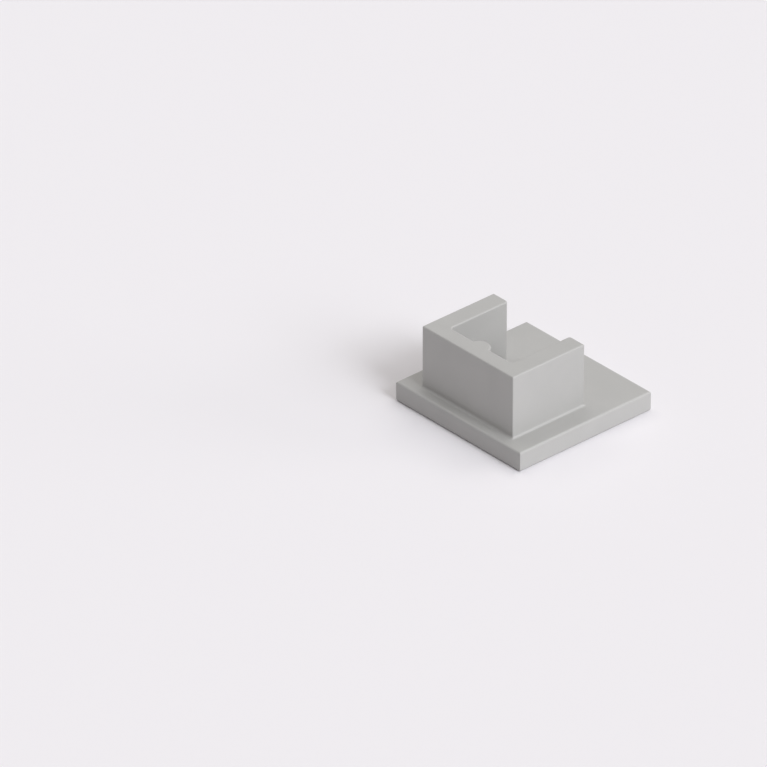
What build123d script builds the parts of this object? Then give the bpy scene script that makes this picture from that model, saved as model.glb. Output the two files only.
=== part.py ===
"""End cap for a small square aluminium light profile.

One moulded piece: a flat cover plate, a three-walled plug that stands on it and
presses into the profile's channel, and a round hole for the lead.

The origin is at the centre of the plate's outer face. +Z runs from the plate up
the plug, and the plug's open side looks along +Y.
"""
import os

from build123d import *

# Driving dimensions, in millimetres
# Cover plate, which hides the profile's sawn end
plate_width = 16.5
plate_depth = 15.85
plate_thickness = 2.0
plate_corner_radius = 0.05

# Plug, three walls open towards +Y
plug_width = 12.0
plug_depth = 8.6
plug_height = 6.35
plug_setback = 1.15
back_wall = 1.65
side_wall = 1.95
plug_corner_radius = 0.08
inner_corner_radius = 0.3
wall_end_radius = 0.3

# Half-round rib up the inside of the plug's back wall
rib_radius = 1.1
rib_standout = 0.78
rib_foot_radius = 0.05

# Hole for the lead, at the middle of the plate
hole_diameter = 6.0

# Small roundings: the rims of the plate's two faces, of the plug and of the hole,
# and the fillet at the plug's foot
outer_edge_radius = 0.25
inner_edge_radius = 0.2
plug_edge_radius = 0.15
hole_edge_radius = 0.15
foot_radius = 0.25

# Places that follow from the sizes
total_height = plate_thickness + plug_height
plug_back_y = plug_setback - plate_depth / 2
plug_front_y = plug_back_y + plug_depth
room_back_y = plug_back_y + back_wall
room_width = plug_width - 2 * side_wall
rib_centre_y = room_back_y + rib_standout - rib_radius

# Places nearer than this are the same place
same_place = 0.001


def corners(sketch, x, y):
    """The sketch's pair of corners at +x and -x on the line y."""
    return [
        v
        for v in sketch.vertices()
        if abs(abs(v.X) - x) < same_place and abs(v.Y - y) < same_place
    ]


def plate_outline():
    """The plate seen from above, a rectangle with its corners just broken."""
    outline = Rectangle(plate_width, plate_depth)
    return fillet(outline.vertices(), plate_corner_radius)


def plug_outline():
    """The plug seen from above: a back wall, two side walls and the rib between them."""
    block = Pos(0, plug_back_y) * Rectangle(plug_width, plug_depth, align=(Align.CENTER, Align.MIN))
    room_depth = plug_front_y - room_back_y
    room = Pos(0, room_back_y) * Rectangle(room_width, room_depth, align=(Align.CENTER, Align.MIN))
    rib = Pos(0, rib_centre_y) * Circle(rib_radius)
    outline = block - (room - rib)

    outline = fillet(corners(outline, room_width / 2, room_back_y), inner_corner_radius)
    outline = fillet(corners(outline, room_width / 2, plug_front_y), wall_end_radius)
    outline = fillet(corners(outline, plug_width / 2, plug_front_y), plug_corner_radius)
    outline = fillet(corners(outline, plug_width / 2, plug_back_y), plug_corner_radius)
    rib_half_width = (rib_radius**2 - (rib_radius - rib_standout) ** 2) ** 0.5
    return fillet(corners(outline, rib_half_width, room_back_y), rib_foot_radius)


def face_at(body, height):
    """The body's flat, level face at that height."""
    level = body.faces().filter_by(Plane.XY)
    return level.filter_by_position(Axis.Z, height - same_place, height + same_place)[0]


def end_cap():
    """Plate and plug as one moulding, with its small roundings and the lead's hole."""
    plate = extrude(plate_outline(), plate_thickness)
    plug = extrude(Pos(0, 0, plate_thickness) * plug_outline(), plug_height)
    body = plate + plug

    foot = face_at(body, plate_thickness).inner_wires()[0].edges()
    body = body.fillet(foot_radius, foot)
    body = body.fillet(plug_edge_radius, face_at(body, total_height).edges())
    inner_rim = face_at(body, plate_thickness).outer_wire().edges()
    body = body.fillet(inner_edge_radius, inner_rim)
    body = body.fillet(outer_edge_radius, face_at(body, 0).edges())

    body -= extrude(Circle(hole_diameter / 2), plate_thickness)
    mouth = face_at(body, 0).inner_wires()[0].edges()
    return body.fillet(hole_edge_radius, mouth)


os.makedirs("parts", exist_ok=True)
export_step(end_cap(), "parts/end_cap.step")
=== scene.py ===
"""Looks for the moulded end cap of a light profile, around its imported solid.

The cap's solid keeps its shape and gets the surface of its plastic. The stage
adds a pale studio floor, soft lamps and the camera of a product picture.
"""
import math

import bpy
from bpy.props import FloatProperty, FloatVectorProperty, PointerProperty
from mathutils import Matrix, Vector


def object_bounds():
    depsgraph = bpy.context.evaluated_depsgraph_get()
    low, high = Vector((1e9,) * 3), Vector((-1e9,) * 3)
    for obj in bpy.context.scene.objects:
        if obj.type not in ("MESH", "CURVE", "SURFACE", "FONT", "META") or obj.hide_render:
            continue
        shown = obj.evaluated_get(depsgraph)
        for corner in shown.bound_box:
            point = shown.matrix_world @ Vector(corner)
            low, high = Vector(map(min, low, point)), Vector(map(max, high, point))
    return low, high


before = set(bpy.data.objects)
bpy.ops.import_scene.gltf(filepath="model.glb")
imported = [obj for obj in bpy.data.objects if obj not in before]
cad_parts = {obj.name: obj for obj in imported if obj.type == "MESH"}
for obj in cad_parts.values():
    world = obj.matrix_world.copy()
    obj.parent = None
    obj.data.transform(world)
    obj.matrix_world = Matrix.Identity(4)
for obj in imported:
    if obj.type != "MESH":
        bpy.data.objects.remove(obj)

bl_info = {
    "name": "Profile End Cap",
    "version": (1, 0, 0),
    "blender": (4, 5, 0),
    "location": "3D View > Sidebar > End Cap",
    "description": "Dresses a moulded profile end cap and lights it for a product picture",
    "category": "Object",
}

MM = 0.001
CAD_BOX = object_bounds()

# ABS bends light about as much as other hard plastics
ABS_IOR = 1.54

# Nearly all of a noise texture lies between these values
NOISE_LOW = 0.3
NOISE_HIGH = 0.7

# Camera, fitted to the straight edges of the real cap. An azimuth of 0 looks along +Y,
# and the camera aims at a point on the floor beside the cap
CAMERA_AZIMUTH = math.radians(48.19)
CAMERA_ELEVATION = math.radians(31.19)
CAMERA_DISTANCE = 1041.8 * MM
CAMERA_LENS_MM = 544.7
CAMERA_SENSOR_MM = 36.0
AIM_ON_FLOOR = (-11.192 * MM, -6.774 * MM, 0.0)

# The key is a little cooler than the light from above and around
COOL_WHITE = "#F8FBFF"
WARM_WHITE = "#FFFDF9"

# Lamps: name, azimuth, elevation and width of the soft source in degrees, share, colour.
# A share of 1 would light a white surface that faces the lamp to plain white
LAMPS = (
    ("key", 90, 40, 20, 0.36, COOL_WHITE),
    ("key_low", 90, 25, 20, 0.11, COOL_WHITE),
    ("key_right_low", 105, 25, 20, 0.14, COOL_WHITE),
    ("key_right_high", 105, 55, 20, 0.1, COOL_WHITE),
    ("fill_low", 135, 12, 25, 0.16, WARM_WHITE),
    ("top_far", 180, 62, 35, 0.16, WARM_WHITE),
    ("top_left", 270, 62, 35, 0.18, WARM_WHITE),
)


def linear(hex_colour):
    """A linear RGB triple from an sRGB hex string such as "#B0AFAD"."""
    value = hex_colour.lstrip("#")
    channels = [int(value[i : i + 2], 16) / 255 for i in (0, 2, 4)]
    return tuple(c / 12.92 if c <= 0.04045 else ((c + 0.055) / 1.055) ** 2.4 for c in channels)


def direction(azimuth, elevation):
    """The unit vector that points towards a camera or a lamp at these angles."""
    level = math.cos(elevation)
    return Vector((math.sin(azimuth) * level, -math.cos(azimuth) * level, math.sin(elevation)))


def add_node(tree, kind, settings=(), inputs=(), links=()):
    """A node of that kind, with its settings, its input values and the links into it.

    An input is given by its name, or by its number where several share one name.
    """
    node = tree.nodes.new(kind)
    for name, value in dict(settings).items():
        setattr(node, name, value)
    for name, value in dict(inputs).items():
        node.inputs[name].default_value = value
    for name, source in dict(links).items():
        tree.links.new(source, node.inputs[name])
    return node


def new_material(name):
    """An empty node material and its tree."""
    material = bpy.data.materials.new(name)
    material.use_nodes = True
    material.node_tree.nodes.clear()
    return material, material.node_tree


class PlasticSettings(bpy.types.PropertyGroup):
    """The moulded plastic's colour and surface"""

    colour: FloatVectorProperty(
        name="Colour",
        description="Colour of the moulded plastic",
        subtype="COLOR",
        size=3,
        min=0,
        max=1,
        default=linear("#B0AFAD"),
    )
    mottle: FloatProperty(
        name="Mottle",
        description="How much the colour drifts where the melt flowed unevenly",
        subtype="FACTOR",
        min=0,
        max=1,
        default=0.02,
    )
    mottle_size: FloatProperty(
        name="Mottle size",
        description="Width of a patch of that drift",
        unit="LENGTH",
        min=0.1 * MM,
        default=4.0 * MM,
    )
    roughness: FloatProperty(
        name="Roughness",
        description="Mean roughness of the moulded surface",
        subtype="FACTOR",
        min=0,
        max=1,
        default=0.47,
    )
    sheen_patches: FloatProperty(
        name="Sheen patches",
        description="How much the roughness rises and falls from place to place",
        subtype="FACTOR",
        min=0,
        max=1,
        default=0.06,
    )
    patch_size: FloatProperty(
        name="Patch size",
        description="Width of a more or less shiny patch",
        unit="LENGTH",
        min=0.1 * MM,
        default=1.5 * MM,
    )
    grain: FloatProperty(
        name="Grain",
        description="Spacing of the fine grain that the eroded mould leaves",
        unit="LENGTH",
        min=0.01 * MM,
        default=0.15 * MM,
    )
    grain_depth: FloatProperty(
        name="Grain depth",
        description="Height of that grain from pit to peak",
        unit="LENGTH",
        min=0,
        default=0.008 * MM,
    )


class StageSettings(bpy.types.PropertyGroup):
    """The floor and the lamps"""

    floor_colour: FloatVectorProperty(
        name="Floor colour",
        description="Colour of the studio floor",
        subtype="COLOR",
        size=3,
        min=0,
        max=1,
        default=linear("#F0EDF1"),
    )
    floor_size: FloatProperty(
        name="Floor size",
        description="Side of the square floor",
        unit="LENGTH",
        default=4.0,
    )
    lamp_strength: FloatProperty(
        name="Lamps",
        description="Strength of all the lamps together",
        subtype="FACTOR",
        min=0,
        default=1.0,
    )
    sky_strength: FloatProperty(
        name="Sky light",
        description="How much light comes evenly from all round",
        subtype="FACTOR",
        min=0,
        default=0.27,
    )


def moulded_plastic(settings):
    """Light-grey ABS, injection moulded in a spark-eroded mould.

    The eye sees an even, satin surface: a soft sheen with no mirror in it, a faint drift
    of the grey where the melt flowed, and patches that are a little more or less shiny.
    The real grain is about 0.03 mm wide, too fine to show, so it is drawn five times as wide.
    """
    material, tree = new_material("moulded_grey_abs")
    place = add_node(tree, "ShaderNodeTexCoord").outputs["Object"]

    flow = add_node(
        tree,
        "ShaderNodeTexNoise",
        inputs={"Scale": 1 / settings.mottle_size, "Detail": 2.0, "Roughness": 0.5, "Distortion": 0.6},
        links={"Vector": place},
    )
    drift = add_node(
        tree,
        "ShaderNodeMapRange",
        inputs={
            "From Min": NOISE_LOW,
            "From Max": NOISE_HIGH,
            "To Min": 1 - settings.mottle,
            "To Max": 1 + settings.mottle,
        },
        links={"Value": flow.outputs["Fac"]},
    )
    colour = add_node(
        tree,
        "ShaderNodeHueSaturation",
        inputs={"Color": (*settings.colour, 1)},
        links={"Value": drift.outputs["Result"]},
    )

    patches = add_node(
        tree,
        "ShaderNodeTexNoise",
        inputs={"Scale": 1 / settings.patch_size, "Detail": 3.0, "Roughness": 0.6},
        links={"Vector": place},
    )
    half = settings.sheen_patches / 2
    roughness = add_node(
        tree,
        "ShaderNodeMapRange",
        inputs={
            "From Min": NOISE_LOW,
            "From Max": NOISE_HIGH,
            "To Min": settings.roughness - half,
            "To Max": settings.roughness + half,
        },
        links={"Value": patches.outputs["Fac"]},
    )

    grain = add_node(
        tree,
        "ShaderNodeTexNoise",
        inputs={"Scale": 1 / settings.grain, "Detail": 2.0, "Roughness": 0.5},
        links={"Vector": place},
    )
    relief = add_node(
        tree,
        "ShaderNodeBump",
        inputs={"Strength": 1.0, "Distance": settings.grain_depth},
        links={"Height": grain.outputs["Fac"]},
    )

    surface = add_node(
        tree,
        "ShaderNodeBsdfPrincipled",
        inputs={"IOR": ABS_IOR},
        links={
            "Base Color": colour.outputs["Color"],
            "Roughness": roughness.outputs["Result"],
            "Normal": relief.outputs["Normal"],
        },
    )
    add_node(tree, "ShaderNodeOutputMaterial", links={"Surface": surface.outputs["BSDF"]})
    return material


def floor_material(settings):
    """Matt studio board, one even pale colour that takes the cap's shadow."""
    material, tree = new_material("matt_studio_board")
    surface = add_node(tree, "ShaderNodeBsdfDiffuse", inputs={"Color": (*settings.floor_colour, 1)})
    add_node(tree, "ShaderNodeOutputMaterial", links={"Surface": surface.outputs["BSDF"]})
    return material


class ENDCAP_OT_dress(bpy.types.Operator):
    """Give the cap's solid the surface of its moulded plastic"""

    bl_idname = "endcap.dress"
    bl_label = "Dress the cap"

    def execute(self, context):
        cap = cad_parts["end_cap"]
        plastic = moulded_plastic(context.scene.endcap_plastic)
        cap.data.materials.clear()
        cap.data.materials.append(plastic)
        return {"FINISHED"}


class ENDCAP_OT_stage(bpy.types.Operator):
    """Set up the camera, the floor, the lamps and the surrounding light"""

    bl_idname = "endcap.stage"
    bl_label = "Set the stage"

    def execute(self, context):
        settings = context.scene.endcap_stage
        self.camera(context)
        self.floor(context, settings)
        self.lamps(context, settings)
        self.world(context, settings)
        context.scene.view_settings.view_transform = "Standard"
        return {"FINISHED"}

    def camera(self, context):
        """A long lens that looks down at the cap."""
        back = direction(CAMERA_AZIMUTH, CAMERA_ELEVATION)
        data = bpy.data.cameras.new("camera")
        data.sensor_width = CAMERA_SENSOR_MM
        data.lens = CAMERA_LENS_MM
        camera = bpy.data.objects.new("camera", data)
        camera.location = Vector(AIM_ON_FLOOR) + back * CAMERA_DISTANCE
        camera.rotation_euler = (-back).to_track_quat("-Z", "Y").to_euler()
        context.scene.collection.objects.link(camera)
        context.scene.camera = camera

    def floor(self, context, settings):
        """A flat square at the height of the cap's lowest point."""
        half = settings.floor_size / 2
        height = CAD_BOX[0].z
        corners = [(x * half, y * half, height) for x, y in ((-1, -1), (1, -1), (1, 1), (-1, 1))]
        mesh = bpy.data.meshes.new("floor")
        mesh.from_pydata(corners, [], [(0, 1, 2, 3)])
        mesh.materials.append(floor_material(settings))
        floor = bpy.data.objects.new("floor", mesh)
        context.scene.collection.objects.link(floor)

    def lamps(self, context, settings):
        """A tall soft key from the +X side, made of four lamps, a low fill and two from above."""
        for name, azimuth, elevation, width, share, colour in LAMPS:
            data = bpy.data.lights.new(name, "SUN")
            data.angle = math.radians(width)
            data.energy = share * settings.lamp_strength * math.pi
            data.color = linear(colour)
            lamp = bpy.data.objects.new(name, data)
            towards = direction(math.radians(azimuth), math.radians(elevation))
            lamp.rotation_euler = towards.to_track_quat("Z", "Y").to_euler()
            context.scene.collection.objects.link(lamp)

    def world(self, context, settings):
        """Even warm-white light from all round.

        What the camera sees there, straight or in the gloss, is the floor's colour instead.
        """
        world = bpy.data.worlds.new("studio")
        world.use_nodes = True
        tree = world.node_tree
        tree.nodes.clear()
        light = add_node(
            tree,
            "ShaderNodeBackground",
            inputs={"Color": (*linear(WARM_WHITE), 1), "Strength": settings.sky_strength},
        )
        backdrop = add_node(
            tree,
            "ShaderNodeBackground",
            inputs={"Color": (*settings.floor_colour, 1), "Strength": 1.0},
        )
        rays = add_node(tree, "ShaderNodeLightPath").outputs
        seen = rays["Is Camera Ray"]
        for kind in ("Is Glossy Ray", "Is Transmission Ray"):
            either = add_node(
                tree,
                "ShaderNodeMath",
                settings={"operation": "MAXIMUM"},
                links={0: seen, 1: rays[kind]},
            )
            seen = either.outputs["Value"]
        both = add_node(
            tree,
            "ShaderNodeMixShader",
            links={"Fac": seen, 1: light.outputs["Background"], 2: backdrop.outputs["Background"]},
        )
        add_node(tree, "ShaderNodeOutputWorld", links={"Surface": both.outputs["Shader"]})
        context.scene.world = world


class ENDCAP_PT_panel(bpy.types.Panel):
    """The cap's tools in the sidebar"""

    bl_label = "End Cap"
    bl_idname = "ENDCAP_PT_panel"
    bl_space_type = "VIEW_3D"
    bl_region_type = "UI"
    bl_category = "End Cap"

    def draw(self, context):
        layout = self.layout
        for group in (context.scene.endcap_plastic, context.scene.endcap_stage):
            for name in group.bl_rna.properties.keys():
                if name not in {"rna_type", "name"}:
                    layout.prop(group, name)
        layout.operator(ENDCAP_OT_dress.bl_idname)
        layout.operator(ENDCAP_OT_stage.bl_idname)


CLASSES = (PlasticSettings, StageSettings, ENDCAP_OT_dress, ENDCAP_OT_stage, ENDCAP_PT_panel)


def register():
    for item in CLASSES:
        bpy.utils.register_class(item)
    bpy.types.Scene.endcap_plastic = PointerProperty(type=PlasticSettings)
    bpy.types.Scene.endcap_stage = PointerProperty(type=StageSettings)


def unregister():
    del bpy.types.Scene.endcap_stage
    del bpy.types.Scene.endcap_plastic
    for item in reversed(CLASSES):
        bpy.utils.unregister_class(item)


def main():
    register()
    bpy.ops.endcap.stage()
    bpy.ops.endcap.dress()


if __name__ == "__main__":
    main()
